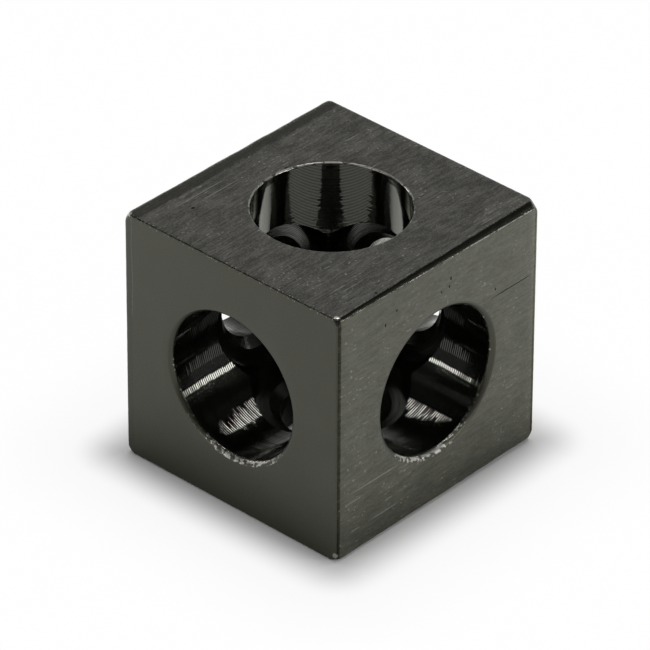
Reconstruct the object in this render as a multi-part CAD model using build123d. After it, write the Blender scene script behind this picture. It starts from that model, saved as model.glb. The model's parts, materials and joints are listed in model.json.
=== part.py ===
"""Three-way corner connector for square slotted aluminium profile.

One solid block cut from square bar. Three screw-access bores open on the
+X, +Y and +Z faces and meet in the middle. Each bore ends on a flat seat,
and a through hole runs on from the seat to the opposite face. A screw is
dropped in through a bore, its head lands on the seat, and its thread pulls
the end of a profile against the -X, -Y or -Z face.

Units are millimetres. The origin is the centre of the block, where the axes
of the three bores cross. +Z is up and X is the length of the bar.
"""

import os

from build123d import *

# Block
cut_length = 20.0        # along X, the length sawn and milled off the bar
bar_width = 19.5         # along Y
bar_height = 19.5        # along Z
bar_edge_round = 0.4     # the four long edges of the bar, parallel to X
cut_edge_round = 0.25    # the edges round the two cut faces
corner_trim = 0.8        # how far the tumbled corners stop short along an edge

# Screw-access bores, the same tool for all three
bore_dia = 11.0          # clears the head of an M6 screw, 10.5 across
seat_wall = 3.5          # metal left between a seat and the outside face
side_mouth_chamfer = 0.35   # at the +X and +Y mouths
top_mouth_chamfer = 0.1     # at the +Z mouth, only deburred

# Through holes
hole_dia = 7.0           # coarse clearance for an M6 thread
seat_chamfer = 0.7       # 45 degrees, where the hole starts in the seat
outer_chamfer = 0.2      # 45 degrees, where the hole leaves the block

# Sizes that follow from the ones above
bore_radius = bore_dia / 2
hole_radius = hole_dia / 2
half_length = cut_length / 2
half_width = bar_width / 2
half_height = bar_height / 2

# How far a cutter runs past a face it leaves through
overrun = 1.0


def make_block():
    """The plain bar length with its edges rounded and its corners dulled."""
    block = Box(cut_length, bar_width, bar_height)
    block = fillet(block.edges().filter_by(Axis.X), bar_edge_round)
    cut_faces = block.faces().filter_by(Axis.X)
    block = fillet(cut_faces.edges(), cut_edge_round)
    dulled_radius = Vector(half_length - corner_trim, half_width, half_height).length
    return block & Sphere(dulled_radius)


def make_cutter(half_span, mouth_chamfer):
    """Bore, seat and through hole for one axis, drawn along +Z."""
    seat = seat_wall - half_span
    mouth_radius = bore_radius + mouth_chamfer
    outer_radius = hole_radius + outer_chamfer
    profile = Polyline(
        (0, -half_span - overrun),
        (outer_radius, -half_span - overrun),
        (outer_radius, -half_span),
        (hole_radius, -half_span + outer_chamfer),
        (hole_radius, seat - seat_chamfer),
        (hole_radius + seat_chamfer, seat),
        (bore_radius, seat),
        (bore_radius, half_span - mouth_chamfer),
        (mouth_radius, half_span),
        (mouth_radius, half_span + overrun),
        (0, half_span + overrun),
        close=True,
    )
    section = Plane.XZ * make_face(profile)
    return revolve(section, Axis.Z)


along_z = make_cutter(half_height, top_mouth_chamfer)
along_x = Rot(0, 90, 0) * make_cutter(half_length, side_mouth_chamfer)
along_y = Rot(-90, 0, 0) * make_cutter(half_width, side_mouth_chamfer)

corner_block = make_block() - along_x - along_y - along_z

os.makedirs("parts", exist_ok=True)
export_step(corner_block, "parts/corner_block.step")

box = corner_block.bounding_box()
print("solids", len(corner_block.solids()))
print("size", round(box.size.X, 3), round(box.size.Y, 3), round(box.size.Z, 3))
print("volume", round(corner_block.volume, 1))
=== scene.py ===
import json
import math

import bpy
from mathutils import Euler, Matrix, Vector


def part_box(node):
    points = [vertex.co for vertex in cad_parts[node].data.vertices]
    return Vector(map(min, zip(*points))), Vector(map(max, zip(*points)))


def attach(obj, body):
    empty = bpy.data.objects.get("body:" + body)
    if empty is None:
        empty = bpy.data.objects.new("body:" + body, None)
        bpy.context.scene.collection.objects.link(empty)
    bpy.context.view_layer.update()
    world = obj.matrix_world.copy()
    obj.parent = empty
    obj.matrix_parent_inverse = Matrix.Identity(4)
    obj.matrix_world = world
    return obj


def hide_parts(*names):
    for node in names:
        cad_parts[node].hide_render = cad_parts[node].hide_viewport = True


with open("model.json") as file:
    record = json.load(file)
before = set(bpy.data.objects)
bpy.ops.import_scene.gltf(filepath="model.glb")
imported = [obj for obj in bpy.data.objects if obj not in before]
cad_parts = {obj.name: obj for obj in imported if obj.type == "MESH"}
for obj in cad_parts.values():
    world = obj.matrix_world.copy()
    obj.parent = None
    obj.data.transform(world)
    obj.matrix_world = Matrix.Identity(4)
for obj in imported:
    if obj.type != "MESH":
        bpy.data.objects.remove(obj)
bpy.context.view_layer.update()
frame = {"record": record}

# %% [markdown]
# # A three-way corner connector
#
# The object is one small cube of black anodised aluminium, about 20 mm on each side. It is cut from
# square bar, and three screw bores cross inside it. Each bore is wide at one face, where a screw
# head goes in, and narrow at the opposite face, where only the screw's thread comes out into the
# end of a slotted profile.
#
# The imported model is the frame: it gives the block's place and size, and the record gives the
# bores. Everything below is made around those numbers, in metres.

MM_PER_M = 1000
low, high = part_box("corner_block")
half = (high - low) / 2
mounts = {m["name"]: m for m in frame["record"]["mounts"]}
bore_radius = mounts["access_bore_z"]["dims"]["r_mm"] / MM_PER_M
hole_radius = mounts["screw_hole_z"]["dims"]["r_mm"] / MM_PER_M
seat_wall = half.z + mounts["head_seat_z"]["pos_m"][2]
print("half sizes", [round(v * MM_PER_M, 3) for v in half], "mm")
print("bore and hole radius", bore_radius * MM_PER_M, hole_radius * MM_PER_M, "mm")
print("metal left under each seat", round(seat_wall * MM_PER_M, 3), "mm")

# %% [markdown]
# ## The small cuts
#
# A real block is never quite sharp. The mouths of the bores are lightly broken, the seats have a
# chamfer round the screw hole, and the outer edges are cut. "bar" edges run along the drawn bar,
# "end" edges go across its top and bottom where it was sawn off, and "side" edges stand upright
# between a sawn and a drawn face. These sizes are a few tenths of a millimetre, but they are what
# catches the light.

# %% Chamfers and edge cuts
MM = 1 / MM_PER_M
mouth_chamfer = {"x": 0.30 * MM, "y": 0.32 * MM, "z": 0.10 * MM}
seat_chamfer = 0.7 * MM
outer_chamfer = 0.2 * MM
edge_band = 1.0 * MM
bar_edge_cut = 0.32 * MM
end_edge_cut = 0.05 * MM
side_edge_cut = {"x": 0.38 * MM, "y": 0.08 * MM}
corner_cut = 0.58 * MM
groove_pitch = 0.175 * MM
print("mouth chamfers", {axis: round(size / MM, 2) for axis, size in mouth_chamfer.items()}, "mm")

# %% [markdown]
# ## The camera
#
# The camera stands well back with a long lens, as for a catalogue picture of a small part, so that
# the cube's edges stay nearly parallel. It looks down on the corner where the three open bores
# meet.

# %% Camera
camera_place = Vector((0.285886, 0.260922, 0.258414))
camera_turn = Euler([math.radians(a) for a in (56.2896, -0.2432, 132.6099)], "XYZ")
camera_data = bpy.data.cameras.new("camera")
camera_data.sensor_width = 36.0
camera_data.lens = 379.52
camera_data.clip_start = 0.05
camera_data.clip_end = 20.0
camera = bpy.data.objects.new("camera", camera_data)
camera.location = camera_place
camera.rotation_euler = camera_turn
bpy.context.scene.collection.objects.link(camera)
bpy.context.scene.camera = camera
bpy.context.scene.view_settings.view_transform = "Standard"
print("camera is", round(camera_place.length, 3), "m from the block")

# %% [markdown]
# ## Helpers for node trees
#
# Materials and Geometry Nodes are both trees of nodes. Writing every node by hand in a script takes
# many lines, so a few short helpers add a node, fill its sockets with values or links, and hand
# back what the next node needs. A socket knows the tree that it belongs to, so the sums can be
# written without naming the tree each time. "ramp" turns a value into a soft step, and "sway" moves
# a value to and fro by a noise.

# %% Helpers for nodes
def add(tree, kind, sockets=None, **settings):
    node = tree.nodes.new(kind)
    for name, value in settings.items():
        setattr(node, name, value)
    for name, value in (sockets or {}).items():
        if isinstance(value, bpy.types.NodeSocket):
            tree.links.new(value, node.inputs[name])
        else:
            node.inputs[name].default_value = value
    return node


def tree_of(*values):
    return next(value.id_data for value in values if isinstance(value, bpy.types.NodeSocket))


def sums(operation, *values):
    node = add(tree_of(*values), "ShaderNodeMath", dict(enumerate(values)), operation=operation)
    return node.outputs[0]


def plus(a, b):
    return sums("ADD", a, b)


def minus(a, b):
    return sums("SUBTRACT", a, b)


def times(a, b):
    return sums("MULTIPLY", a, b)


def ratio(a, b):
    return sums("DIVIDE", a, b)


def times_plus(a, b, c):
    return sums("MULTIPLY_ADD", a, b, c)


def sway(wave, reach, base):
    return times_plus(minus(wave, 0.5), reach, base)


def least(a, b):
    return sums("MINIMUM", a, b)


def most_of(a, b):
    return sums("MAXIMUM", a, b)


def vectors(operation, *values):
    node = add(tree_of(*values), "ShaderNodeVectorMath", dict(enumerate(values)), operation=operation)
    return node.outputs["Value" if operation in ("LENGTH", "DOT_PRODUCT") else "Vector"]


def ramp(value, start, end, low_value=0.0, high_value=1.0):
    sockets = {"Value": value, "From Min": start, "From Max": end, "To Min": low_value,
               "To Max": high_value}
    node = add(tree_of(value), "ShaderNodeMapRange", sockets, interpolation_type="SMOOTHSTEP")
    return node.outputs[0]


def noise(vector, scale, detail):
    sockets = {"Vector": vector, "Scale": scale, "Detail": detail}
    return add(tree_of(vector), "ShaderNodeTexNoise", sockets).outputs[0]


MIX_SOCKETS = {"FLOAT": (2, 3, 0), "VECTOR": (4, 5, 1), "RGBA": (6, 7, 2)}


def mix(kind, factor, first, second):
    a, b, out = MIX_SOCKETS[kind]
    sockets = {0: factor, a: first, b: second}
    return add(tree_of(factor, first, second), "ShaderNodeMix", sockets, data_type=kind).outputs[out]


def split(vector):
    return add(tree_of(vector), "ShaderNodeSeparateXYZ", {0: vector}).outputs


def join(x, y, z):
    return add(tree_of(x, y, z), "ShaderNodeCombineXYZ", {0: x, 1: y, 2: z}).outputs[0]


def new_tree(name, kind, inputs, outputs):
    tree = bpy.data.node_groups.new(name, kind)
    for in_out, sockets in (("INPUT", inputs), ("OUTPUT", outputs)):
        for socket_name, socket_kind, *value in sockets:
            kind_name = "NodeSocket" + socket_kind
            socket = tree.interface.new_socket(name=socket_name, in_out=in_out, socket_type=kind_name)
            if value:
                socket.default_value = value[0]
    given = tree.nodes.new("NodeGroupInput").outputs
    result = tree.nodes.new("NodeGroupOutput").inputs
    return tree, given, result


print("node helpers are ready")

# %% [markdown]
# ## The turned profile
#
# Each side of the block is a hole with a face round it, and every one of them follows the same
# rule: draw a short profile from the bore's inner end to the block's outline, and turn it round the
# bore's axis. A lathe hand would draw the same line. The list holds one row for each step of the
# profile. "cross" pulls a row to the curve where the bores meet, "square" changes the circle to the
# face's square outline, and "inset" is how far the row stays inside that outline. "feed" is the way
# along the profile, which the tool's rings follow, "rim" runs from 0 to 1 across a broken edge, and
# "finish" picks the material. One extra row stands close below each mouth, so that the smooth
# shading of the broken edge doesn't reach down the wall.

# %% Rows of the profile
FACE, WALL, MOUTH, SEAT, HOLE, FINE_WALL, SAWN, BRUSHED = range(8)


def wall_rows(end, steps, finish):
    shape = dict(r=bore_radius, w=end, feed=end, finish=finish)
    return [dict(shape, cross=1 - i / steps) for i in range(steps)]


def line_rows(r0, w0, r1, w1, steps, finish, feed):
    run = math.hypot(r1 - r0, w1 - w0)
    rows = [dict(r=r0 + (r1 - r0) * i / steps, w=w0 + (w1 - w0) * i / steps,
                 feed=feed + run * i / steps, finish=finish) for i in range(steps)]
    return rows, feed + run


SQUARE_STEPS = (0, 0.2, 0.4, 0.6, 0.8, 1)
FRAME_INSET = 1.5 * MM
EDGE_INSETS = (1.2, 0.9, 0.7, 0.56, 0.49, 0.43, 0.38, 0.34, 0.30, 0.26, 0.22, 0.17, 0.12, 0.07, 0.0)
MOUTH_CURVE = ((0, -0.15), (0.04, 0.1), (0.16, 0.3), (0.36, 0.5), (0.56, 0.7), (0.76, 0.86), (0.96, 0.97))


def face_rows(r0, w0, feed):
    shape = dict(r=r0, w=w0, feed=feed, rim=1, finish=FACE)
    inner = [dict(shape, square=t, inset=FRAME_INSET) for t in SQUARE_STEPS]
    return inner + [dict(shape, square=1, inset=v * MM) for v in EDGE_INSETS]


def mouth_rows(wall_end, chamfer):
    return [dict(r=bore_radius + chamfer * out, w=wall_end + chamfer * up, feed=wall_end + chamfer * up,
                 rim=out, finish=MOUTH) for out, up in MOUTH_CURVE]


def open_side(reach, chamfer, finish=WALL):
    wall_end = reach - chamfer
    straight_to = wall_end - chamfer * 0.4
    wall = wall_rows(straight_to, 8, finish)
    wall.append(dict(r=bore_radius, w=straight_to, feed=straight_to, finish=finish))
    face = face_rows(bore_radius + chamfer * 1.2, reach, reach)
    return wall + mouth_rows(wall_end, chamfer) + face


def seat_side(reach, finish=WALL):
    seat = reach - seat_wall
    rim = hole_radius + seat_chamfer
    floor, feed = line_rows(bore_radius, seat, rim, seat, 3, SEAT, seat)
    bevel, feed = line_rows(rim, seat, hole_radius, seat + seat_chamfer, 2, SEAT, feed)
    outlet, mouth = reach - outer_chamfer, hole_radius + outer_chamfer
    hole, feed = line_rows(hole_radius, seat + seat_chamfer, hole_radius, outlet, 4, HOLE, feed)
    edge, feed = line_rows(hole_radius, outlet, mouth, reach, 2, HOLE, feed)
    return wall_rows(seat, 4, finish) + floor + bevel + hole + edge + face_rows(mouth, reach, feed)


row_counts = len(open_side(half.z, mouth_chamfer["z"])), len(seat_side(half.z))
print("rows on the open side and on the seat side", row_counts)

# %% [markdown]
# Each profile becomes a small mesh of points, with the row's numbers as attributes. Geometry Nodes
# read them from there, so the drawing stays apart from the rule that turns it.

# %% Profile meshes
def profile_object(name, rows):
    mesh = bpy.data.meshes.new(name)
    links = [(i, i + 1) for i in range(len(rows) - 1)]
    mesh.from_pydata([(row["r"], 0, row["w"]) for row in rows], links, [])
    for key in ("cross", "square", "inset", "feed", "rim", "finish"):
        layer = mesh.attributes.new(key, "FLOAT", "POINT")
        layer.data.foreach_set("value", [float(row.get(key, 0)) for row in rows])
    made = bpy.data.objects.new(name, mesh)
    bpy.context.scene.collection.objects.link(made)
    return made


profiles = {
    "+X": profile_object("profile_open_x", open_side(half.x, mouth_chamfer["x"])),
    "+Y": profile_object("profile_open_y", open_side(half.y, mouth_chamfer["y"])),
    "+Z": profile_object("profile_open_z", open_side(half.z, mouth_chamfer["z"], FINE_WALL)),
    "-X": profile_object("profile_seat_x", seat_side(half.x)),
    "-Y": profile_object("profile_seat_y", seat_side(half.y)),
    "-Z": profile_object("profile_seat_z", seat_side(half.z, FINE_WALL)),
}
print("profiles", {k: len(v.data.vertices) for k, v in profiles.items()})

# %% [markdown]
# ## One bored side, as a rule
#
# A grid is bent into place: its columns go round the bore and its rows follow the profile. Where
# two bores cross, the wall ends at the bore radius times the larger of cosine and sine, so a row
# with cross = 1 lies exactly on that curve, and the next bore's wall has the same points. A boolean
# cut would give the same shape, but with long thin triangles that shade badly on a glossy wall.

# %% Geometry Nodes: one bored side
SIDE_WELD = 1e-6


def attribute(tree, name):
    return add(tree, "GeometryNodeInputNamedAttribute", {"Name": name}, data_type="FLOAT").outputs[0]


def store(tree, geometry, name, value, domain):
    sockets = {"Geometry": geometry, "Name": name, "Value": value}
    return add(tree, "GeometryNodeStoreNamedAttribute", sockets, data_type="FLOAT", domain=domain).outputs[0]


def bored_side_tree():
    tree, given, result = new_tree("bored_side", "GeometryNodeTree", [
        ("Profile", "Geometry"), ("Half Across", "Float"), ("Half Up", "Float"), ("Bore Radius", "Float"),
        ("Segments", "Int"), ("Turn", "Rotation"), ("Material", "Material")], [("Geometry", "Geometry")])
    count = add(tree, "GeometryNodeAttributeDomainSize", {0: given["Profile"]}).outputs["Point Count"]
    columns = plus(given["Segments"], 1.0)
    grid = add(tree, "GeometryNodeMeshGrid", {
        "Size X": 1.0, "Size Y": 1.0, "Vertices X": columns, "Vertices Y": count})
    u, v, _ = split(grid.outputs["UV Map"])
    row = times(v, minus(count, 1.0))
    whole_row = sums("ROUND", row)

    def sample(value, index, kind="FLOAT"):
        sockets = {"Geometry": given["Profile"], "Value": value, "Index": index}
        return add(tree, "GeometryNodeSampleIndex", sockets, data_type=kind).outputs[0]

    def sample_row(name):
        return sample(attribute(tree, name), whole_row)

    place = add(tree, "GeometryNodeInputPosition").outputs[0]
    radius, _, height = split(sample(place, whole_row, "FLOAT_VECTOR"))
    angle = times(u, -2 * math.pi)
    c, s = sums("COSINE", angle), sums("SINE", angle)
    larger = most_of(sums("ABSOLUTE", c), sums("ABSOLUTE", s))

    def along_edge(part):
        slope = times(sums("ARCTANGENT", ratio(part, larger)), 4 / math.pi)
        curved = sums("SINE", times(slope, math.pi / 2))
        return times(plus(slope, curved), 0.5)

    square, inset, cross = (sample_row(name) for name in ("square", "inset", "cross"))
    on_circle = join(times(c, radius), times(s, radius), 0.0)
    half_across, half_up = (minus(given[name], inset) for name in ("Half Across", "Half Up"))
    on_square = join(times(along_edge(c), half_across), times(along_edge(s), half_up), 0.0)
    flat = mix("VECTOR", square, on_circle, on_square)
    crossing = times(given["Bore Radius"], larger)
    lifted = vectors("ADD", flat, join(0.0, 0.0, mix("FLOAT", cross, height, crossing)))
    feed = mix("FLOAT", cross, sample_row("feed"), crossing)

    kept = grid.outputs["Mesh"]
    for name, value in {"row": row, "feed": feed, "rim": sample_row("rim")}.items():
        kept = store(tree, kept, name, value, "POINT")
    finish = sample(attribute(tree, "finish"), sums("FLOOR", attribute(tree, "row")))
    kept = store(tree, kept, "finish", finish, "FACE")
    bent = add(tree, "GeometryNodeSetPosition", {"Geometry": kept, "Position": lifted}).outputs[0]
    welded = add(tree, "GeometryNodeMergeByDistance", {"Geometry": bent, "Distance": SIDE_WELD}).outputs[0]
    turned = add(tree, "GeometryNodeTransform", {"Geometry": welded, "Rotation": given["Turn"]}).outputs[0]
    real = add(tree, "GeometryNodeRealizeInstances", {"Geometry": turned}).outputs[0]
    done = add(tree, "GeometryNodeSetMaterial", {"Geometry": real, "Material": given["Material"]}).outputs[0]
    tree.links.new(done, result["Geometry"])
    return tree


bored_side = bored_side_tree()
print("bored_side has", len(bored_side.nodes), "nodes")

# %% [markdown]
# ## The whole block
#
# The rule is used six times, turned to each face, and the six sides are welded into one closed
# skin. Then the outer edges are cut. A point near an edge is drawn in to the nearest of several
# flat planes, one for each face, edge and corner, and a high power mean of their distances leaves
# the lines where they meet slightly soft. The cut is wide on the bar edges and a little wider still
# toward the back. It is hardly there on the end edges, leans toward the sawn face on the side
# edges, and is largest at the corners, which handling wears first. Noise makes each width wander,
# as on a real tumbled part.

# %% Geometry Nodes: the block
SIDE_TURNS = {"+X": (0, 90, 0), "-X": (0, -90, 0), "+Y": (-90, 0, 0), "-Y": (90, 0, 0), "+Z": (0, 0, 0),
              "-Z": (180, 0, 0)}
FINISH_NAMES = ["Drawn Faces", "Bore Walls", "Mouths", "Seats", "Holes", "Fine Bore Walls", "Sawn Faces",
                "Brushed Faces"]
BLOCK_WELD = 2e-6
ON_OUTSIDE = 1e-6
JUST_INSIDE = 0.99999
WIDER_TO_BACK = -30.0
EDGE_POWER = 24.0
KNOCKED_FROM, KNOCKED_TO, KNOCKED_CORNER = 15.0 * MM, 19.0 * MM, 1.4


def wider_to_back(cut, x):
    return times(cut, times_plus(x, WIDER_TO_BACK, 1.0))


def bored_block_tree():
    tree, given, result = new_tree("bored_block", "GeometryNodeTree", [
        ("Geometry", "Geometry"), ("Half Size", "Vector"), ("Bore Radius", "Float"), ("Segments", "Int"),
        ("Edge Band", "Float"), ("Bar Edge", "Float"), ("End Edge", "Float"), ("Side Edge X", "Float"),
        ("Side Edge Y", "Float"), ("Corner", "Float"), ("Wear", "Float"), ("Seed", "Float")]
        + [("Side " + side, "Object") for side in SIDE_TURNS]
        + [(name, "Material") for name in FINISH_NAMES], [("Geometry", "Geometry")])
    half_x, half_y, half_z = split(given["Half Size"])
    across = {"X": (half_z, half_y), "Y": (half_x, half_z), "Z": (half_x, half_y)}
    sides = add(tree, "GeometryNodeJoinGeometry")
    for side, turn in SIDE_TURNS.items():
        drawn = add(tree, "GeometryNodeObjectInfo", {"Object": given["Side " + side]}).outputs["Geometry"]
        group = add(tree, "GeometryNodeGroup", node_tree=bored_side)
        half_across, half_up = across[side[1]]
        for name, value in {"Profile": drawn, "Half Across": half_across, "Half Up": half_up,
                            "Bore Radius": given["Bore Radius"], "Segments": given["Segments"],
                            "Material": given["Drawn Faces"]}.items():
            tree.links.new(value, group.inputs[name])
        group.inputs["Turn"].default_value = Euler([math.radians(a) for a in turn])
        tree.links.new(group.outputs[0], sides.inputs[0])
    sockets = {"Geometry": sides.outputs[0], "Distance": BLOCK_WELD}
    welded = add(tree, "GeometryNodeMergeByDistance", sockets).outputs[0]

    place = add(tree, "GeometryNodeInputPosition").outputs[0]
    depth = vectors("SUBTRACT", given["Half Size"], vectors("ABSOLUTE", place))
    dx, dy, dz = split(depth)
    nearest = least(dx, least(dy, dz))
    on_outside = sums("LESS_THAN", nearest, ON_OUTSIDE)
    px, py, _ = split(place)
    offset = vectors("ADD", place, join(given["Seed"], given["Seed"], given["Seed"]))
    slow = minus(noise(offset, 500.0, 2.0), 0.5)
    quick = minus(noise(offset, 2600.0, 2.0), 0.5)

    def worn_cut(size, slow_share, quick_share):
        waver = times_plus(quick, quick_share, times(slow, slow_share))
        waver = times_plus(waver, given["Wear"], 1.0)
        return ratio(times(size, waver), given["Edge Band"])

    bar_cut = worn_cut(wider_to_back(given["Bar Edge"], px), 1.0, 0.5)
    end_cut = worn_cut(given["End Edge"], 1.0, 3.0)
    side_cut_x = worn_cut(given["Side Edge X"], 1.0, 1.0)
    side_cut_y = worn_cut(given["Side Edge Y"], 1.0, 1.0)
    band = given["Edge Band"]
    inner = vectors("SUBTRACT", given["Half Size"], join(band, band, band))

    def keep_within(point, limit):
        least_corner = vectors("MULTIPLY", limit, (-1, -1, -1))
        return vectors("MAXIMUM", vectors("MINIMUM", point, limit), least_corner)

    core = keep_within(place, inner)
    outward = vectors("NORMALIZE", vectors("SUBTRACT", place, core))
    ax, ay, az = split(vectors("ABSOLUTE", outward))

    def flat_cut(first, second, first_cut, second_cut):
        far = plus(ratio(1.0, first_cut), ratio(1.0, second_cut))
        along = plus(ratio(first, first_cut), ratio(second, second_cut))
        return ratio(along, minus(far, 1.0))

    pairs = [flat_cut(ax, ay, side_cut_x, side_cut_y), flat_cut(ay, az, bar_cut, bar_cut),
             flat_cut(ax, az, end_cut, end_cut)]
    knocked = ramp(minus(py, px), KNOCKED_FROM, KNOCKED_TO, 1.0, KNOCKED_CORNER)
    corner = ratio(times(given["Corner"], knocked), band)
    triple = plus(ax, plus(ay, az))
    triple = ratio(triple, minus(3.0, corner))
    total = None
    for limit in (ax, ay, az, *pairs, triple):
        power = sums("POWER", limit, EDGE_POWER)
        total = plus(total, power) if total else power
    ball = ratio(band, sums("POWER", total, 1 / EDGE_POWER))
    rounded = vectors("ADD", core, vectors("MULTIPLY", outward, join(ball, ball, ball)))
    outer_limit = vectors("MULTIPLY", given["Half Size"], (JUST_INSIDE, JUST_INSIDE, JUST_INSIDE))
    sockets = {"Geometry": welded, "Selection": on_outside, "Position": keep_within(rounded, outer_limit)}
    worn = add(tree, "GeometryNodeSetPosition", sockets).outputs[0]

    done = add(tree, "GeometryNodeRealizeInstances", {"Geometry": worn}).outputs[0]
    finish = attribute(tree, "finish")
    facing = add(tree, "GeometryNodeInputPosition").outputs[0]
    facing = vectors("SUBTRACT", given["Half Size"], vectors("ABSOLUTE", facing))
    fx, fy, fz = split(facing)
    which_face = {SAWN: sums("LESS_THAN", fx, least(fy, fz)),
                  BRUSHED: sums("LESS_THAN", fz, least(fx, fy))}
    for number, name in enumerate(FINISH_NAMES):
        row_kind = FACE if number in which_face else number
        chosen = sums("COMPARE", finish, float(row_kind), 0.1)
        if number in which_face:
            chosen = times(chosen, which_face[number])
        sockets = {"Geometry": done, "Selection": chosen, "Material": given[name]}
        done = add(tree, "GeometryNodeSetMaterial", sockets).outputs[0]
    tree.links.new(done, result["Geometry"])
    return tree


bored_block = bored_block_tree()
print("bored_block has", len(bored_block.nodes), "nodes")

# %% [markdown]
# ## Finishes
#
# Black anodising is a thin, hard, dyed oxide on aluminium. It keeps every mark of the metal below
# it, so the marks are what tell the surfaces apart: long lines on the four faces along the bar, a
# fine even saw finish on the two cut ones, and rings from the boring tool inside. Each kind of mark
# is a shader node group, used wherever it belongs. The grain group draws several noises out along
# the bar by different amounts and adds them up.

# %% Node group: grain along the bar
def bar_grain_group():
    tree, given, result = new_tree("bar_grain", "ShaderNodeTree", [
        ("Vector", "Vector"), ("Fine", "Float", 14000.0), ("Stretch", "Float", 4.0), ("Lines", "Float", 0.4),
        ("Scratch", "Float", 0.55)],
        [("Height", "Float"), ("Tone", "Float"), ("Specks", "Float"), ("Scratches", "Float")])

    def stretched(width, stretch, detail):
        scale = join(ratio(width, stretch), width, width)
        vector = vectors("MULTIPLY", given["Vector"], scale)
        return noise(vector, 1.0, detail)

    grain = stretched(given["Fine"], given["Stretch"], 2.0)
    blotch = stretched(times(given["Fine"], 0.32), 4.0, 2.0)
    lines = stretched(times(given["Fine"], 0.6), 60.0, 2.0)
    patch = noise(given["Vector"], 420.0, 3.0)
    share_of_lines = times(given["Lines"], ramp(patch, 0.35, 0.6, 0.5, 1.4))
    tone = mix("FLOAT", share_of_lines, grain, lines)
    tone = sway(blotch, 0.55, tone)
    tone = sway(patch, 0.35, tone)
    scored = stretched(times(given["Fine"], 0.45), 55.0, 1.0)
    dashes = stretched(times(given["Fine"], 0.5), 3.0, 1.0)
    where = noise(vectors("MULTIPLY", given["Vector"], (560.0 / 1.5, 560.0, 560.0)), 1.0, 1.0)
    scratches = times(ramp(scored, 0.56, 0.66), ramp(where, given["Scratch"], 0.72))
    scratches = times(scratches, ramp(dashes, 0.42, 0.66, 0.15, 1.0))
    bright = stretched(times(given["Fine"], 0.55), 1.6, 0.0)
    specks = times(ramp(bright, 0.70, 0.80), ramp(patch, 0.42, 0.6))
    height = plus(tone, times(plus(specks, scratches), 0.5))
    for name, value in {"Height": height, "Tone": ramp(tone, 0.30, 0.70), "Specks": specks,
                        "Scratches": scratches}.items():
        tree.links.new(value, result[name])
    return tree


bar_grain = bar_grain_group()
print("made", bar_grain.name)

# %% [markdown]
# Pits are small and rare, and no two are alike. A Voronoi texture gives every cell its own random
# colour, so keeping only the cells whose colour falls under a small share leaves a few round spots.
# A noise changes the size of each spot, so its rim comes out uneven, as where a grain of the metal
# was pulled out.

# %% Node group: small pits
def pits_group():
    tree, given, result = new_tree("pits", "ShaderNodeTree", [
        ("Vector", "Vector"), ("Cells", "Float", 700.0), ("Share", "Float", 0.06), ("Radius", "Float", 0.09)],
        [("Pit", "Float")])
    bent = noise(given["Vector"], 6000.0, 1.0)
    cells = add(tree, "ShaderNodeTexVoronoi", {"Vector": given["Vector"], "Scale": given["Cells"]}).outputs
    few = sums("LESS_THAN", split(cells["Color"])[0], given["Share"])
    size = times(given["Radius"], ramp(bent, 0.3, 0.7, 0.4, 1.5))
    depth = ramp(ratio(cells["Distance"], size), 0.5, 1.0, 1.0, 0.0)
    tree.links.new(times(depth, few), result["Pit"])
    return tree


pits = pits_group()
print("made", pits.name)

# %% [markdown]
# Some marks belong to one place: a nick near a corner, or a run of scores where something hard slid
# along. The group measures how far a point is from a chosen centre, in units of the mark's own
# reach along each axis, so a long thin reach gives a score and an even one gives a nick. With one
# group for all of them, a new mark takes no more than a line in a list of places.

# %% Node group: one mark at a chosen place
def mark_group():
    tree, given, result = new_tree("mark", "ShaderNodeTree", [
        ("Vector", "Vector"), ("Torn", "Float", 0.5), ("Centre", "Vector"), ("Reach", "Vector")],
        [("Mark", "Float")])
    away = vectors("SUBTRACT", given["Vector"], given["Centre"])
    away = vectors("LENGTH", vectors("DIVIDE", away, given["Reach"]))
    away = sway(given["Torn"], 0.8, away)
    tree.links.new(ramp(away, 0.6, 1.0, 1.0, 0.0), result["Mark"])
    return tree


def use(tree, group, **sockets):
    node = add(tree, "ShaderNodeGroup", node_tree=group)
    for name, value in sockets.items():
        socket = node.inputs[name.replace("_", " ")]
        if isinstance(value, bpy.types.NodeSocket):
            tree.links.new(value, socket)
        else:
            socket.default_value = value
    return node.outputs


def in_mm(values):
    return [v * MM for v in values]


def marks_at(tree, vector, torn, places):
    most = None
    for centre, reach in places:
        one = use(tree, mark, Vector=vector, Torn=torn, Centre=in_mm(centre), Reach=in_mm(reach))["Mark"]
        most = most_of(most, one) if most else one
    return most


mark = mark_group()
print("made", mark.name)

# %% [markdown]
# A boring tool leaves one groove for each turn, with a long gentle side and a short steep one, like
# a very fine thread. The wall's "feed" attribute says how far along the bore a point lies, and its
# fraction of one pitch places it in the groove. The gentle sides all lean toward the mouth by the
# same small angle, which is why a lamp shows in the wall as a ladder of thin lines and not as one
# bright patch. The valleys are painted dark as shade: there the wall is made to mirror nothing.

# %% Node group: rings left by the boring tool
LONG_SIDE, CREST = 0.74, 1.4
VALLEY_AT, VALLEY_FROM, VALLEY_TO = 0.46, 0.24, 0.32


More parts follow.
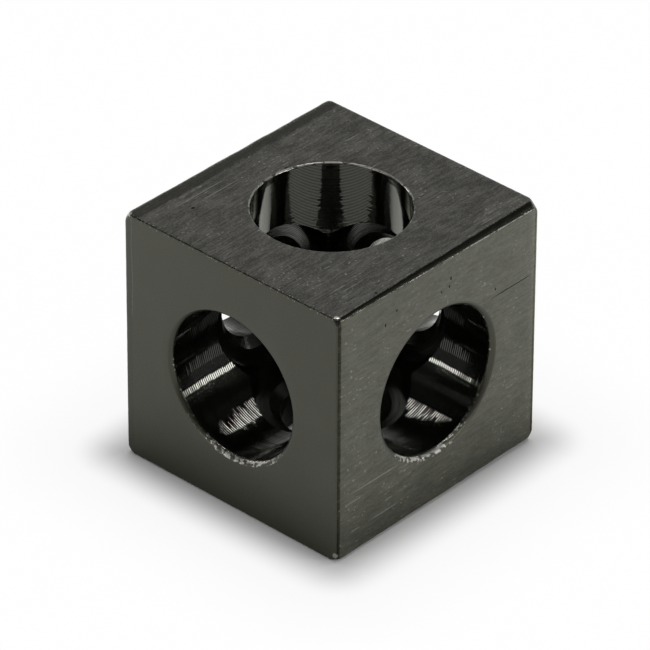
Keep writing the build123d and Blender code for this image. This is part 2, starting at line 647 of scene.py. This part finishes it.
def tool_rings_group():
    tree, given, result = new_tree("tool_rings", "ShaderNodeTree", [
        ("Vector", "Vector"), ("Feed", "Float"), ("Pitch", "Float", groove_pitch), ("Wander", "Float", 0.3),
        ("Slope", "Float", 0.2), ("Chatter", "Float", 0.0), ("Grain", "Float", 0.0)],
        [("Height", "Float"), ("Marks", "Float"), ("Valley", "Float")])
    drift = noise(given["Vector"], 250.0, 2.0)
    turns = ratio(given["Feed"], given["Pitch"])
    turns = sway(drift, given["Wander"], turns)
    part = sums("FRACT", turns)
    steep_side = ratio(part, 1.0 - LONG_SIDE)
    long_side = ratio(minus(1.0, part), LONG_SIDE)
    scallop = sums("POWER", least(steep_side, long_side), CREST)
    deep = times(given["Slope"], times(given["Pitch"], LONG_SIDE / CREST))

    def per_turn(scale, turns_each, detail):
        w = times(turns, turns_each / scale)
        sockets = {"Vector": given["Vector"], "W": w, "Scale": scale, "Detail": detail}
        return add(tree, "ShaderNodeTexNoise", sockets, noise_dimensions="4D").outputs[0]

    slow = per_turn(300.0, 0.45, 1.0)
    sharp = per_turn(1100.0, 0.9, 2.0)
    torn = times(ramp(given["Feed"], 8.8 * MM, 6.5 * MM), ramp(drift, 0.45, 0.6))
    uneven = ramp(slow, 0.35, 0.65, 0.85, 1.15)
    depth = times(deep, times_plus(torn, 0.3, uneven))
    height = times(scallop, depth)
    height = times_plus(slow, times(given["Chatter"], given["Pitch"]), height)
    height = times_plus(sharp, times(given["Grain"], given["Pitch"]), height)
    tree.links.new(height, result["Height"])
    tree.links.new(ramp(slow, 0.35, 0.65), result["Marks"])
    # painted shade: the groove valleys, where the wall is made to mirror nothing
    from_middle = sums("ABSOLUTE", minus(part, VALLEY_AT))
    tree.links.new(ramp(from_middle, VALLEY_FROM, VALLEY_TO), result["Valley"])
    return tree


tool_rings = tool_rings_group()
print("made", tool_rings.name)

# %% [markdown]
# The cut edges are painted darker and duller: this is painted shade, the dark band that a cut edge
# shows. A dark band is also painted on the drawn faces beside the upright side edges. Just outside
# the cut of the bar edges, on both faces, runs a thin broken line of bare metal, partly burrs and
# partly painted highlight, and the corners that are knocked most have lost their black altogether.
# The group measures how far a point is from each edge in units of that edge's own cut, so one rule
# fits a wide cut and a narrow one. The painted band by the end edges reaches further in than they
# are cut, so their mark has a width of its own.

# %% Node group: where the outer edges are
END_EDGE_MARK = 0.10 * MM
CORNER_BURRS = (((9.72, 9.38, 9.80), (0.24, 0.28, 0.24)), ((9.85, -9.42, 9.72), (0.22, 0.30, 0.24)),
                ((9.95, 9.55, -9.20), (0.25, 0.22, 0.25)))


def edge_wear_and_painted_light_group():
    tree, given, result = new_tree("edge_wear_and_painted_light", "ShaderNodeTree", [
        ("Vector", "Vector"), ("Half Size", "Vector"), ("Bar Edge", "Float", bar_edge_cut),
        ("End Edge", "Float", END_EDGE_MARK), ("Side Edge X", "Float", side_edge_cut["x"]),
        ("Side Edge Y", "Float", side_edge_cut["y"]), ("Corner", "Float", corner_cut)],
        [("Edge", "Float"), ("Side", "Float"), ("Flecks", "Float"), ("Mottle", "Float")])
    from_centre = vectors("ABSOLUTE", given["Vector"])
    dx, dy, dz = split(vectors("SUBTRACT", given["Half Size"], from_centre))
    bar_edge = wider_to_back(given["Bar Edge"], split(given["Vector"])[0])

    def across(first, second, first_cut, second_cut):
        return plus(ratio(first, first_cut), ratio(second, second_cut))

    over_bar = across(dy, dz, bar_edge, bar_edge)
    over_end = across(dx, dz, given["End Edge"], given["End Edge"])
    over_side = across(dx, dy, given["Side Edge X"], given["Side Edge Y"])
    over_corner = ratio(plus(dx, plus(dy, dz)), given["Corner"])
    nearest = least(least(over_bar, least(over_end, over_side)), over_corner)
    mottle = noise(given["Vector"], 8000.0, 2.0)
    beads = noise(given["Vector"], 4200.0, 2.0)
    ragged = sway(mottle, 0.35, nearest)

    def beside(over, at, reach):
        return ramp(sums("ABSOLUTE", minus(over, at)), reach * 0.4, reach, 1.0, 0.0)

    def on_face(depth):
        return ramp(depth, 0.03 * MM, 0.06 * MM, 1.0, 0.0)

    # painted highlights: thin bright lines of bare metal just outside the bar edges' cut, on both faces,
    # partly burrs
    painted_highlight_below_bar = times(beside(over_bar, 1.05, 0.13), on_face(dy))
    painted_highlight_above_bar = times(beside(over_bar, 1.5, 0.35), on_face(dz))
    painted_highlight_above_bar = times(painted_highlight_above_bar, ramp(mottle, 0.50, 0.72, 0.0, 0.5))
    by_end = times(beside(over_end, 1.7, 0.6), ramp(mottle, 0.57, 0.66))
    by_end = times(by_end, ramp(beads, 0.45, 0.55))
    painted_highlights_by_bar = most_of(times(painted_highlight_below_bar, ramp(beads, 0.34, 0.48)), painted_highlight_above_bar)
    # painted shade: a dark, dull band along every cut edge
    tree.links.new(ramp(ragged, 1.12, 1.28, 1.0, 0.0), result["Edge"])
    # painted shade: a dark band on the drawn faces beside the upright side edges
    ragged_x = sway(mottle, 0.1 * MM, dx)
    beside_end = ramp(ratio(ragged_x, given["Side Edge X"]), 0.82, 1.02, 1.0, 0.0)
    on_side = ramp(dy, 0.10 * MM, 0.15 * MM, 1.0, 0.0)
    tree.links.new(times(beside_end, on_side), result["Side"])
    burrs = marks_at(tree, given["Vector"], mottle, CORNER_BURRS)
    # bare metal by the edges and corners: partly burrs, partly painted highlight
    burrs_and_painted_highlights = most_of(burrs, most_of(painted_highlights_by_bar, by_end))
    tree.links.new(burrs_and_painted_highlights, result["Flecks"])
    tree.links.new(mottle, result["Mottle"])
    return tree


edge_wear_and_painted_light = edge_wear_and_painted_light_group()
print("made", edge_wear_and_painted_light.name)

# %% [markdown]
# ## Materials
#
# The finishes share one idea: a Principled shader with a nearly black base under a clear film. The
# film's IOR and tint say how strongly and how warmly it mirrors, and roughness and bump come from
# the groups above. Metallic works here as a mask. It is one where bare metal shows, and also in
# pits and valleys, because a metal with a nearly black colour mirrors almost nothing: this is painted
# shade, and the cut edges get a part of it too. Numbers that are the same all over a surface stay on
# the shader.

# %% Materials: what they share
FILM_ON_FACES = (1.65, (0.98, 1.0, 0.77, 1.0))
FILM_IN_BORES = (1.7, (0.95, 0.96, 0.88, 1.0))
FILM_IN_TOP_BORE = (1.9, (0.95, 0.96, 0.85, 1.0))


def empty_tree(owner):
    owner.use_nodes = True
    owner.node_tree.nodes.clear()
    return owner.node_tree


def new_material(name, roughness, film=FILM_ON_FACES):
    material = bpy.data.materials.new(name)
    tree = empty_tree(material)
    ior, tint = film
    sockets = {"Metallic": 0.0, "Roughness": roughness, "IOR": ior, "Specular Tint": tint}
    shader = add(tree, "ShaderNodeBsdfPrincipled", sockets)
    add(tree, "ShaderNodeOutputMaterial", {"Surface": shader.outputs[0]})
    vector = add(tree, "ShaderNodeTexCoord").outputs["Object"]
    return material, tree, shader, vector


def set_shader(shader, colour, metallic, roughness, height, distance):
    tree = shader.id_data
    sockets = {"Strength": 1.0, "Distance": distance, "Height": height}
    normal = add(tree, "ShaderNodeBump", sockets).outputs[0]
    links = {"Base Color": colour, "Metallic": metallic, "Roughness": roughness, "Normal": normal}
    for name, value in links.items():
        tree.links.new(value, shader.inputs[name])


BLACK_OXIDE = (0.0038, 0.0043, 0.0028, 1.0)
DEEP_OXIDE = (0.0045, 0.0050, 0.0035, 1.0)
DARK_OXIDE_AND_PAINTED_SHADE = (0.005, 0.005, 0.0035, 1.0)
RIM_OXIDE = (0.012, 0.0115, 0.0085, 1.0)
BARE_METAL = (0.42, 0.41, 0.38, 1.0)
print("film on the faces", FILM_ON_FACES[0], "and in the bores", FILM_IN_BORES[0])

# %% [markdown]
# ### Drawn and brushed faces
#
# The long faces of the bar keep fine lines along its length. The top has been brushed again and is
# a little paler, with a smoother, darker strip along one side. Where the grain group says there is
# a speck or a scratch, the oxide is thin and the tone lighter. Pits and nicks are darker, which is
# painted shade in their hollows, and the cut edges carry a painted dark band. The bare metal beside
# the edges, partly burrs and partly painted highlight, is the only place where metal shows.

# %% Materials: drawn and brushed faces
GRAIN_WIDTH = 13000.0
STRIP_FROM, STRIP_TO = -8.2 * MM, -8.45 * MM


def drawn_material(name, film, tones, light, stretch, lines, scratch, depth, smooth_strip, nicks, scores):
    material, tree, shader, vector = new_material(name, 0.4, film)
    grain = use(tree, bar_grain, Vector=vector, Fine=GRAIN_WIDTH, Stretch=stretch, Lines=lines,
                Scratch=scratch)
    hole = use(tree, pits, Vector=vector)["Pit"]
    edges = use(tree, edge_wear_and_painted_light, Vector=vector, Half_Size=half)
    hole = most_of(hole, marks_at(tree, vector, edges["Mottle"], nicks))
    scored = marks_at(tree, vector, edges["Mottle"], scores)
    y = split(vector)[1]
    wobble = times(grain["Tone"], 0.15 * MM)
    strip = times(ramp(plus(y, wobble), STRIP_FROM, STRIP_TO), smooth_strip)
    marks = plus(grain["Specks"], times(grain["Scratches"], 0.8))
    marks = most_of(times(marks, minus(1.0, strip)), scored)
    tone = mix("RGBA", times(grain["Tone"], times_plus(strip, -0.8, 1.0)), *tones)
    tone = mix("RGBA", marks, tone, light)
    # painted shade: pits, nicks and cut edges darkened; the bare metal by the edges is partly painted
    # highlight
    tone = mix("RGBA", most_of(hole, edges["Edge"]), tone, DARK_OXIDE_AND_PAINTED_SHADE)
    tone = mix("RGBA", edges["Flecks"], tone, BARE_METAL)
    # metallic mask: bare metal, and painted shade where pits, cut edges and the band beside the upright edges
    # mirror nothing
    bare_metal_and_painted_shade = times(most_of(edges["Edge"], strip), 0.4)
    bare_metal_and_painted_shade = most_of(hole, most_of(bare_metal_and_painted_shade, times(edges["Side"], 0.8)))
    bare_metal_and_painted_shade = most_of(edges["Flecks"], bare_metal_and_painted_shade)
    rough = mix("FLOAT", edges["Edge"], mix("FLOAT", grain["Tone"], 0.46, 0.36), 0.24)
    height = times_plus(hole, -1.5, grain["Height"])
    height = mix("FLOAT", edges["Edge"], height, times(edges["Mottle"], 0.7))
    set_shader(shader, tone, bare_metal_and_painted_shade, rough, height, depth)
    return material


print("drawn_material is ready")

# %% [markdown]
# ### Sawn faces
#
# The two ends were cut with a fine saw and blasted, so they are even, with a grain too small to see
# as lines. Each has a narrow band pressed in along one side, with a pale lip on the upper part of
# the band's border.

# %% Materials: sawn faces
BAND_WIDTH = 0.95 * MM


def sawn_material():
    material, tree, shader, vector = new_material("sawn_black", 0.42)
    grain = noise(vector, 9000.0, 3.0)
    cloud = noise(vector, 350.0, 3.0)
    edges = use(tree, edge_wear_and_painted_light, Vector=vector, Half_Size=half)
    y, z = split(vector)[1:]
    from_side = plus(plus(y, half.y - BAND_WIDTH), times(cloud, 0.5 * MM))
    high_up = ramp(z, 1.2 * MM, 2.2 * MM)
    lip = ramp(sums("ABSOLUTE", from_side), 0.01 * MM, 0.05 * MM, 1.0, 0.0)
    lip = times(times(lip, high_up), ramp(grain, 0.3, 0.6, 0.3, 1.0))
    pressed = times(ramp(from_side, 0.05 * MM, -0.02 * MM), 0.8)
    tone = mix("RGBA", cloud, (0.004, 0.004, 0.002, 1.0), (0.010, 0.0095, 0.006, 1.0))
    tone = mix("RGBA", ramp(grain, 0.35, 0.65, 0.0, 0.7), tone, (0.023, 0.022, 0.017, 1.0))
    tone = mix("RGBA", pressed, tone, (0.004, 0.004, 0.0045, 1.0))
    tone = mix("RGBA", lip, tone, (0.09, 0.088, 0.08, 1.0))
    # painted shade on the cut edges, and bare metal beside them that is partly painted highlight
    tone = mix("RGBA", edges["Edge"], tone, DARK_OXIDE_AND_PAINTED_SHADE)
    tone = mix("RGBA", edges["Flecks"], tone, BARE_METAL)
    rough = mix("FLOAT", edges["Edge"], ramp(cloud, 0.3, 0.7, 0.40, 0.46), 0.26)
    height = mix("FLOAT", edges["Edge"], grain, times(edges["Mottle"], 2.0))
    set_shader(shader, tone, edges["Flecks"], rough, height, 0.006 * MM)
    return material


print("sawn_material is ready")

# %% [markdown]
# ### Bores, seats and holes
#
# One function makes all four walls: they differ only in how smooth they are, how deep and how close
# the rings lie, and how much the tool chattered.

# %% Materials: bores, seats and holes
def bored_material(name, roughness, tones, slope, chatter, grain=0.0, pitch=groove_pitch, film=FILM_IN_BORES):
    material, tree, shader, vector = new_material(name, roughness, film)
    feed = add(tree, "ShaderNodeAttribute", attribute_name="feed").outputs["Fac"]
    rings = use(tree, tool_rings, Vector=vector, Feed=feed, Slope=slope, Chatter=chatter, Grain=grain,
                Pitch=pitch)
    tone = mix("RGBA", rings["Marks"], *tones)
    rough = ramp(rings["Marks"], 0.0, 1.0, roughness * 0.7, roughness * 1.3)
    # metallic in the groove valleys makes them mirror nothing: painted shade
    set_shader(shader, tone, rings["Valley"], rough, rings["Height"], 1.0)
    return material


print("bored_material is ready")

# %% [markdown]
# ### Mouths
#
# The broken edge round each bore is where the black is thinnest. Low down on the side faces, most
# toward the front corner, it is torn down to bare metal in short runs, partly wear and partly
# painted highlight, and on top only the far side shows a thin pale line, which is a painted
# highlight. A share that depends on the place is added to a noise, and a sharp ramp turns the sum
# into bare and black patches.

# %% Materials: mouths
def mouth_material():
    material, tree, shader, vector = new_material("broken_mouth", 0.25)
    rim = add(tree, "ShaderNodeAttribute", attribute_name="rim").outputs["Fac"]
    torn = noise(vector, 11000.0, 2.0)
    patch = noise(vector, 3200.0, 3.0)
    x, y, z = split(vector)
    # low down, toward the front corner, the bare runs are partly wear and partly painted highlight
    down = ramp(z, -2.0 * MM, -4.8 * MM)
    toward_front = ramp(plus(x, y), 7.5 * MM, 9.0 * MM)
    on_top = ramp(z, 9.2 * MM, 9.5 * MM)
    # painted highlight: the far side of the top bore's broken edge turns bare and pale
    far_side_painted_highlight = ramp(plus(x, y), 3.0 * MM, -4.0 * MM)
    low_wear_and_highlight = times(down, times_plus(toward_front, 0.7, 0.3))
    share = times_plus(low_wear_and_highlight, 0.26, times(rim, -0.17))
    share = mix("FLOAT", on_top, share, times_plus(far_side_painted_highlight, 0.14, 0.07))
    bare_and_painted_highlight = ramp(plus(share, patch), 0.61, 0.67)
    oxide = mix("RGBA", rim, DARK_OXIDE_AND_PAINTED_SHADE, RIM_OXIDE)
    tone = mix("RGBA", bare_and_painted_highlight, oxide, BARE_METAL)
    depth = mix("FLOAT", down, 0.003 * MM, 0.028 * MM)
    set_shader(shader, tone, bare_and_painted_highlight, mix("FLOAT", rim, 0.24, 0.40), torn, depth)
    return material


print("mouth_material is ready")

# %% [markdown]
# ### Placed marks, and the set of materials
#
# The nicks and scores are listed by place and reach in millimetres. Then every finish is made once,
# under the name that the Geometry Nodes tree asks for.

# %% Materials: the set
FACE_AT, REACH_IN = 9.75, 0.3


def on_drawn_face(marks):
    return [((x, FACE_AT, z), (along, REACH_IN, across)) for x, z, along, across in marks]


FACE_NICKS = on_drawn_face([
    (-1.13, 7.81, 0.1, 0.2), (-0.98, 7.22, 0.1, 0.16), (-0.18, 7.14, 0.09, 0.14),
    (-5.66, 4.75, 0.11, 0.13), (5.35, 7.19, 0.08, 0.2), (4.25, 7.84, 0.1, 0.12),
    (-7.35, 4.17, 2.6, 0.05)])
FACE_SCORES = on_drawn_face([
    (6.27, -4.75, 2.9, 0.06), (8.42, -5.46, 0.8, 0.06), (8.15, -7.87, 0.6, 0.06),
    (5.3, -7.85, 1.7, 0.06), (4.88, -7.0, 0.45, 0.06), (6.72, -4.75, 0.12, 0.1),
    (4.89, -4.75, 0.12, 0.1), (7.76, -5.45, 0.12, 0.1), (9.08, -5.48, 0.12, 0.1),
    (8.39, -3.75, 0.14, 0.12), (8.95, -2.61, 0.11, 0.1), (7.74, -2.6, 0.11, 0.1),
    (6.14, -2.6, 0.11, 0.1), (5.33, -5.58, 0.1, 0.1), (3.27, -5.53, 0.12, 0.12),
    (8.68, 5.17, 0.12, 0.12), (8.68, 4.69, 0.12, 0.12), (9.2, 7.64, 0.12, 0.12)])
TOP_NICKS = [((6.50, -6.67, FACE_AT), (0.22, 0.14, REACH_IN))]
TOP_SCORES = [((5.0, -7.6, FACE_AT), (3.0, 0.04, REACH_IN)), ((3.6, -6.9, FACE_AT), (2.0, 0.04, REACH_IN))]
materials = {
    "Drawn Faces": drawn_material(
        "drawn_black", film=(1.82, (0.98, 1.0, 0.77, 1.0)),
        tones=((0.002, 0.002, 0.001, 1.0), (0.040, 0.039, 0.030, 1.0)), light=(0.15, 0.145, 0.13, 1.0),
        stretch=3.0, lines=0.40, scratch=0.61, depth=0.016 * MM, smooth_strip=0.0,
        nicks=FACE_NICKS, scores=FACE_SCORES),
    "Brushed Faces": drawn_material(
        "brushed_black", film=(1.50, (1.0, 0.985, 0.84, 1.0)),
        tones=((0.002, 0.0018, 0.001, 1.0), (0.074, 0.0715, 0.064, 1.0)), light=(0.20, 0.195, 0.18, 1.0),
        stretch=2.0, lines=0.38, scratch=0.48, depth=0.018 * MM, smooth_strip=1.0,
        nicks=TOP_NICKS, scores=TOP_SCORES),
    "Sawn Faces": sawn_material(),
    "Bore Walls": bored_material(
        "bored_black", 0.03, (BLACK_OXIDE, BLACK_OXIDE), slope=0.20, chatter=0.04, grain=0.02),
    "Fine Bore Walls": bored_material(
        "fine_bored_black", 0.05, (BLACK_OXIDE, DEEP_OXIDE), slope=0.02, chatter=0.12, pitch=0.12 * MM,
        film=FILM_IN_TOP_BORE),
    "Seats": bored_material(
        "seat_black", 0.16, (BLACK_OXIDE, DEEP_OXIDE), slope=0.03, chatter=0.03, grain=0.02, pitch=0.11 * MM),
    "Holes": bored_material(
        "drilled_black", 0.22, (BLACK_OXIDE, DARK_OXIDE_AND_PAINTED_SHADE), slope=0.08, chatter=0.05, grain=0.03),
    "Mouths": mouth_material(),
}
print("materials", [m.name for m in materials.values()])

# %% [markdown]
# ## Building the block
#
# The tree goes on a modifier. Its inputs are set by their identifiers before anything is evaluated,
# the result is copied into a plain mesh, and the modifier and the profile drawings are taken away.

# %% Build the block
def set_inputs(modifier, values):
    for item in modifier.node_group.interface.items_tree:
        if item.item_type == "SOCKET" and item.in_out == "INPUT" and item.name in values:
            modifier[item.identifier] = values[item.name]


def plain_mesh(obj, name):
    graph = bpy.context.evaluated_depsgraph_get()
    mesh = bpy.data.meshes.new_from_object(
        obj.evaluated_get(graph), preserve_all_data_layers=True, depsgraph=graph)
    mesh.name = name
    return mesh


SMOOTH_UP_TO = math.radians(32)
block = bpy.data.objects.new("corner_block_machined", bpy.data.meshes.new("start"))
bpy.context.scene.collection.objects.link(block)
modifier = block.modifiers.new("bored_block", "NODES")
modifier.node_group = bored_block
set_inputs(modifier, {
    "Half Size": tuple(half), "Bore Radius": bore_radius, "Segments": 352, "Edge Band": edge_band,
    "Bar Edge": bar_edge_cut, "End Edge": end_edge_cut, "Side Edge X": side_edge_cut["x"],
    "Side Edge Y": side_edge_cut["y"], "Corner": corner_cut, "Wear": 0.5, "Seed": 0.37,
    **{"Side " + side: profile for side, profile in profiles.items()}, **materials})
mesh = plain_mesh(block, "corner_block_machined")
block.modifiers.clear()
block.data = mesh
for profile in profiles.values():
    bpy.data.objects.remove(profile)
mesh.set_sharp_from_angle(angle=SMOOTH_UP_TO)
print("block", len(mesh.vertices), "points", len(mesh.polygons), "faces", len(mesh.materials), "materials")

# %% [markdown]
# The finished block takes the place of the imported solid, rides the part's one body, and names the
# finish that it wears in the part's record.

# %% Fix the block to the frame
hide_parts("corner_block")
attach(block, "root")
print("block is in the frame")

# %% [markdown]
# ## Floor, sky and lights
#
# The block stands on a plain pale floor. Part of the floor's white is emission that only the camera
# and reflections see, so it reads as white and still holds the block's shadow. That part fades
# close to the block, where the shadow is deepest. In reflections the paper is also painted darker
# near the block, a painted shadow. Behind the block the floor's emission is made stronger in
# reflections, a painted pool of light, which shines in through the small holes and draws the
# stripes on the top bore's wall.

# %% Floor
FLOOR_REACH = 4.0
FLOOR_WHITE, PAINTED_FLOOR_SHADE = 0.85, 0.25
NEAR_WHITE, FAR_WHITE, MIRRORED_WHITE = 0.9, 0.09, 0.72
POOL_FROM, POOL_TO, POOL_STRENGTH = -8.0 * MM, -13.0 * MM, 2.1


def floor_material():
    material = bpy.data.materials.new("studio_floor")
    tree = empty_tree(material)
    light_path = add(tree, "ShaderNodeLightPath").outputs
    is_glossy = light_path["Is Glossy Ray"]
    seen = most_of(light_path["Is Camera Ray"], light_path["Is Transmission Ray"])
    spot = add(tree, "ShaderNodeTexCoord").outputs["Object"]
    beyond = vectors("SUBTRACT", vectors("ABSOLUTE", spot), half)
    bx, by, _ = split(vectors("MAXIMUM", beyond, (0.0, 0.0, 0.0)))
    away = vectors("LENGTH", join(bx, by, 0.0))
    near = ramp(away, -0.5 * MM, 4.0 * MM, 0.0, NEAR_WHITE)
    far = ramp(away, 2.0 * MM, 12.0 * MM, 0.0, FAR_WHITE)
    seen = times(seen, plus(near, far))
    mirrored = times(is_glossy, ramp(away, -0.5 * MM, 8.0 * MM, 0.0, MIRRORED_WHITE))
    seen = plus(seen, mirrored)
    # painted shadow: in reflections the paper is darker near the block
    painted_floor_shade = times(is_glossy, ramp(away, 0.0, 9.0 * MM, PAINTED_FLOOR_SHADE, 0.0))
    grey = times_plus(painted_floor_shade, -FLOOR_WHITE, FLOOR_WHITE)
    x, y, _ = split(spot)
    # painted pool of light: behind the block the floor glows brighter in reflections
    painted_pool = ramp(plus(x, y), POOL_FROM, POOL_TO, 1.0, POOL_STRENGTH)
    strength = mix("FLOAT", is_glossy, 1.0, painted_pool)
    paper = add(tree, "ShaderNodeBsdfDiffuse", {"Color": join(grey, grey, grey)}).outputs[0]
    white = add(tree, "ShaderNodeEmission", {"Color": (1, 1, 1, 1), "Strength": strength}).outputs[0]
    lifted = add(tree, "ShaderNodeMixShader", {0: seen, 1: paper, 2: white}).outputs[0]
    below = add(tree, "ShaderNodeNewGeometry").outputs["Backfacing"]
    clear = add(tree, "ShaderNodeBsdfTransparent").outputs[0]
    shown = add(tree, "ShaderNodeMixShader", {0: below, 1: lifted, 2: clear}).outputs[0]
    add(tree, "ShaderNodeOutputMaterial", {"Surface": shown})
    return material


floor_mesh = bpy.data.meshes.new("studio_floor")
corners = [(-1, -1), (1, -1), (1, 1), (-1, 1)]
floor_mesh.from_pydata([(x * FLOOR_REACH, y * FLOOR_REACH, low.z) for x, y in corners], [], [(0, 1, 2, 3)])
floor_mesh.materials.append(floor_material())
floor = bpy.data.objects.new("studio_floor", floor_mesh)
bpy.context.scene.collection.objects.link(floor)
print("floor at", round(low.z * MM_PER_M, 2), "mm")

# %% [markdown]
# A glossy black part shows mostly what it mirrors. The top mirrors the sky behind the block and the
# sides mirror the floor in front, so the sky is a grey gradient: dark overhead, paler low down, and
# brightest behind the block.

# %% World
world = bpy.data.worlds.new("studio")
bpy.context.scene.world = world
sky = empty_tree(world)
BACK_OF_BLOCK = (-0.74, -0.67, 0.0)
direction = add(sky, "ShaderNodeTexCoord").outputs["Generated"]
level_ray = vectors("NORMALIZE", vectors("MULTIPLY", direction, (1.0, 1.0, 0.0)))
behind = vectors("DOT_PRODUCT", level_ray, BACK_OF_BLOCK)
height_of_ray = split(direction)[2]
low_level = ramp(behind, 0.75, 0.92, 0.30, 1.0)
level = mix("FLOAT", ramp(height_of_ray, 0.0, 1.0), low_level, 0.05)
colour = join(level, level, level)
background = add(sky, "ShaderNodeBackground", {"Color": colour, "Strength": 1.0}).outputs[0]
add(sky, "ShaderNodeOutputWorld", {"Surface": background})
print("the sky is a grey gradient, brightest low down behind the block")

# %% [markdown]
# The lamps stand where the bore walls mirror them. Two low strips, left and right, draw the bright
# ladders on the walls. Two boxes high up and behind light the broad patches below those, and two
# small wings catch the steep sides of the grooves. The outer faces get little from the lamps, so
# each lamp can be set by what it does in the bores.

# %% Lights
LAMP_DISTANCE = 0.6
LAMPS = {  # azimuth and elevation in degrees, width and height in metres, power in watts
    "left_strip": (-16, 19, 0.25, 0.055, 0.70),
    "right_strip": (110, 19, 0.26, 0.075, 1.0),
    "left_wing": (-77, 16, 0.08, 0.05, 0.18),
    "right_wing": (158, 12, 0.06, 0.05, 0.14),
    "upper_left_box": (260, 77, 0.30, 0.055, 0.66),
    "upper_right_box": (160, 74.5, 0.30, 0.06, 0.72),
}


def softbox(name, azimuth, elevation, width, height, power):
    data = bpy.data.lights.new(name, "AREA")
    data.shape = "RECTANGLE"
    data.size, data.size_y = width, height
    data.energy = power
    light = bpy.data.objects.new(name, data)
    a, e = math.radians(azimuth), math.radians(elevation)
    back = Vector((math.cos(a) * math.cos(e), math.sin(a) * math.cos(e), math.sin(e)))
    light.location = back * LAMP_DISTANCE
    light.rotation_euler = back.to_track_quat("Z", "Y").to_euler()
    light.visible_camera = False
    bpy.context.scene.collection.objects.link(light)
    print(name, "radiance", round(power / (math.pi * width * height), 2))


for lamp, values in LAMPS.items():
    softbox(lamp, *values)
